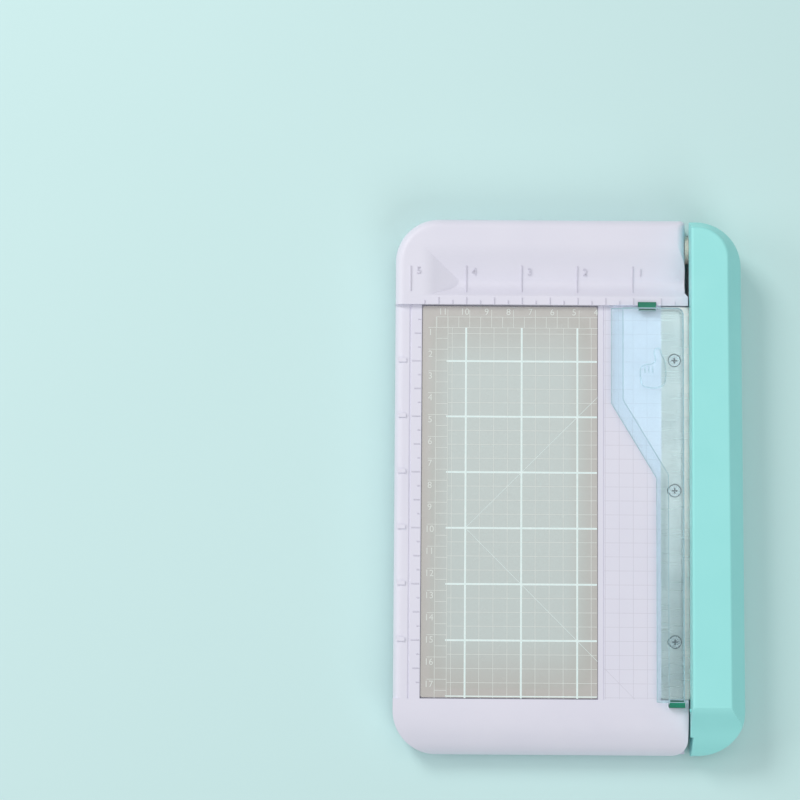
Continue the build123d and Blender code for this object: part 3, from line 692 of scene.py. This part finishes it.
# painted shade: a dark ring in the shadow gap round each fixed blade screw and a dark floor in its cross
# recess
screwSeats = {
    "ring": (2.62 * mm, 3.2 * mm), "ringDepth": 0.3 * mm, "thickness": 0.04 * mm,
    "crossReach": 1.25 * mm, "crossWidth": 0.75 * mm, "crossDepth": 0.38 * mm, "steps": 48,
}


def screwCentres():
    # the three heads are found as clusters of the node's highest points
    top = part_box("fixed_blade_screws")[1].z
    rows = {}
    for vertex in nodes["fixed_blade_screws"].data.vertices:
        if vertex.co.z > top - 0.02 * mm:
            near = next((row for row in rows if abs(row - vertex.co.y) < 8 * mm), vertex.co.y)
            rows.setdefault(near, []).append(vertex.co)
    for points in rows.values():
        xs, ys = [p.x for p in points], [p.y for p in points]
        yield (min(xs) + max(xs)) / 2, (min(ys) + max(ys)) / 2


def markScrewSeats(look):
    bm = bmesh.new()
    inner, outer = look["ring"]
    width = outer - inner
    middle = (inner + outer) / 2
    for x, y in screwCentres():
        spots = []
        for step in range(look["steps"]):
            angle = 2 * math.pi * step / look["steps"]
            spots.append((x + middle * math.cos(angle), y + middle * math.sin(angle)))
        for start, end in zip(spots, spots[1:] + spots[:1]):
            addStrip(bm, start, end, width, look["thickness"], flat(bedTop - look["ringDepth"]))
        reach = look["crossReach"]
        level = flat(bedTop - look["crossDepth"])
        addStrip(bm, (x - reach, y), (x + reach, y), look["crossWidth"], look["thickness"], level)
        addStrip(bm, (x, y - reach), (x, y + reach), look["crossWidth"], look["thickness"] * 1.2, level)
    return meshPiece("blade_screw_seats", bm, inksAndPaintedShade["seat"], "base")


markScrewSeats(screwSeats)
print("screw seats done")


# floor, lamps and camera

studio = {
    "floorColour": paint(206, 236, 235), "floorDrift": paint(203, 234, 233), "floorSize": 6.0,
    "floorDrop": 0.02 * mm,  # keeps the floor clear of the feet
    "sky": paint(244, 245, 247), "skyStrength": 0.40,
    "key": {"place": (-0.80, 0.90, 1.15), "size": 0.6, "watts": 10.0, "colour": (1.0, 0.985, 0.97)},
    "fill": {"place": (0.6, -1.2, 1.3), "size": 1.2, "watts": 9.0, "colour": (0.98, 0.99, 1.0)},
    "rear": {"place": (0.25, 0.6, 1.9), "size": 1.2, "watts": 3.6, "colour": (1.0, 1.0, 1.0)},
    "side": {"place": (-1.4, 0.1, 0.8), "size": 0.9, "watts": 4.5, "colour": (1.0, 1.0, 1.0)},
}


def floorFinish(look):
    material, tree, shader = blankMaterial("paleFloor")
    tone = twoTone(tree, cloud(tree, 400 * mm), look["floorColour"], look["floorDrift"])
    tree.links.new(tone, shader.inputs["Base Color"])
    tree.links.new(spread(tree, cloud(tree, 60 * mm), 0.8, 0.9), shader.inputs["Roughness"])
    setSockets(shader, {"Specular IOR Level": 0.1})
    return material


def layFloor(look):
    bm = bmesh.new()
    bmesh.ops.create_grid(bm, x_segments=1, y_segments=1, size=look["floorSize"] / 2)
    mesh = bpy.data.meshes.new("floor")
    bm.to_mesh(mesh)
    bm.free()
    floor = bpy.data.objects.new("floor", mesh)
    scene.collection.objects.link(floor)
    floor.location.z = -look["floorDrop"]
    floor.data.materials.append(floorFinish(look))
    return floor


def hangLamp(name, look):
    lamp = bpy.data.lights.new(name, "AREA")
    lamp.shape = "DISK"
    lamp.size = look["size"]
    lamp.energy = look["watts"]
    lamp.color = look["colour"]
    holder = bpy.data.objects.new(name, lamp)
    scene.collection.objects.link(holder)
    holder.location = look["place"]
    holder.rotation_euler = (-Vector(look["place"])).to_track_quat("-Z", "Y").to_euler()
    return holder


def lightRoom(look):
    world = bpy.data.worlds.new("studio")
    scene.world = world
    world.use_nodes = True
    background = world.node_tree.nodes["Background"]
    background.inputs["Color"].default_value = look["sky"]
    background.inputs["Strength"].default_value = look["skyStrength"]
    for name in ("key", "fill", "rear", "side"):
        hangLamp(name, look[name])


cameraSetup = {
    "place": (-0.0716, -0.0846, 1.251), "turn": (0.0997, 0.0036, 0.0071), "lens": 122.1, "sensor": 36.0,
    "clip": (0.05, 20.0),
}


def placeCamera(look):
    lens = bpy.data.cameras.new("camera")
    lens.lens = look["lens"]
    lens.sensor_width = look["sensor"]
    lens.clip_start, lens.clip_end = look["clip"]
    camera = bpy.data.objects.new("camera", lens)
    scene.collection.objects.link(camera)
    camera.location = look["place"]
    camera.rotation_euler = look["turn"]
    scene.camera = camera


layFloor(studio)
lightRoom(studio)
placeCamera(cameraSetup)
scene.view_settings.view_transform = "Standard"
print("studio ready")
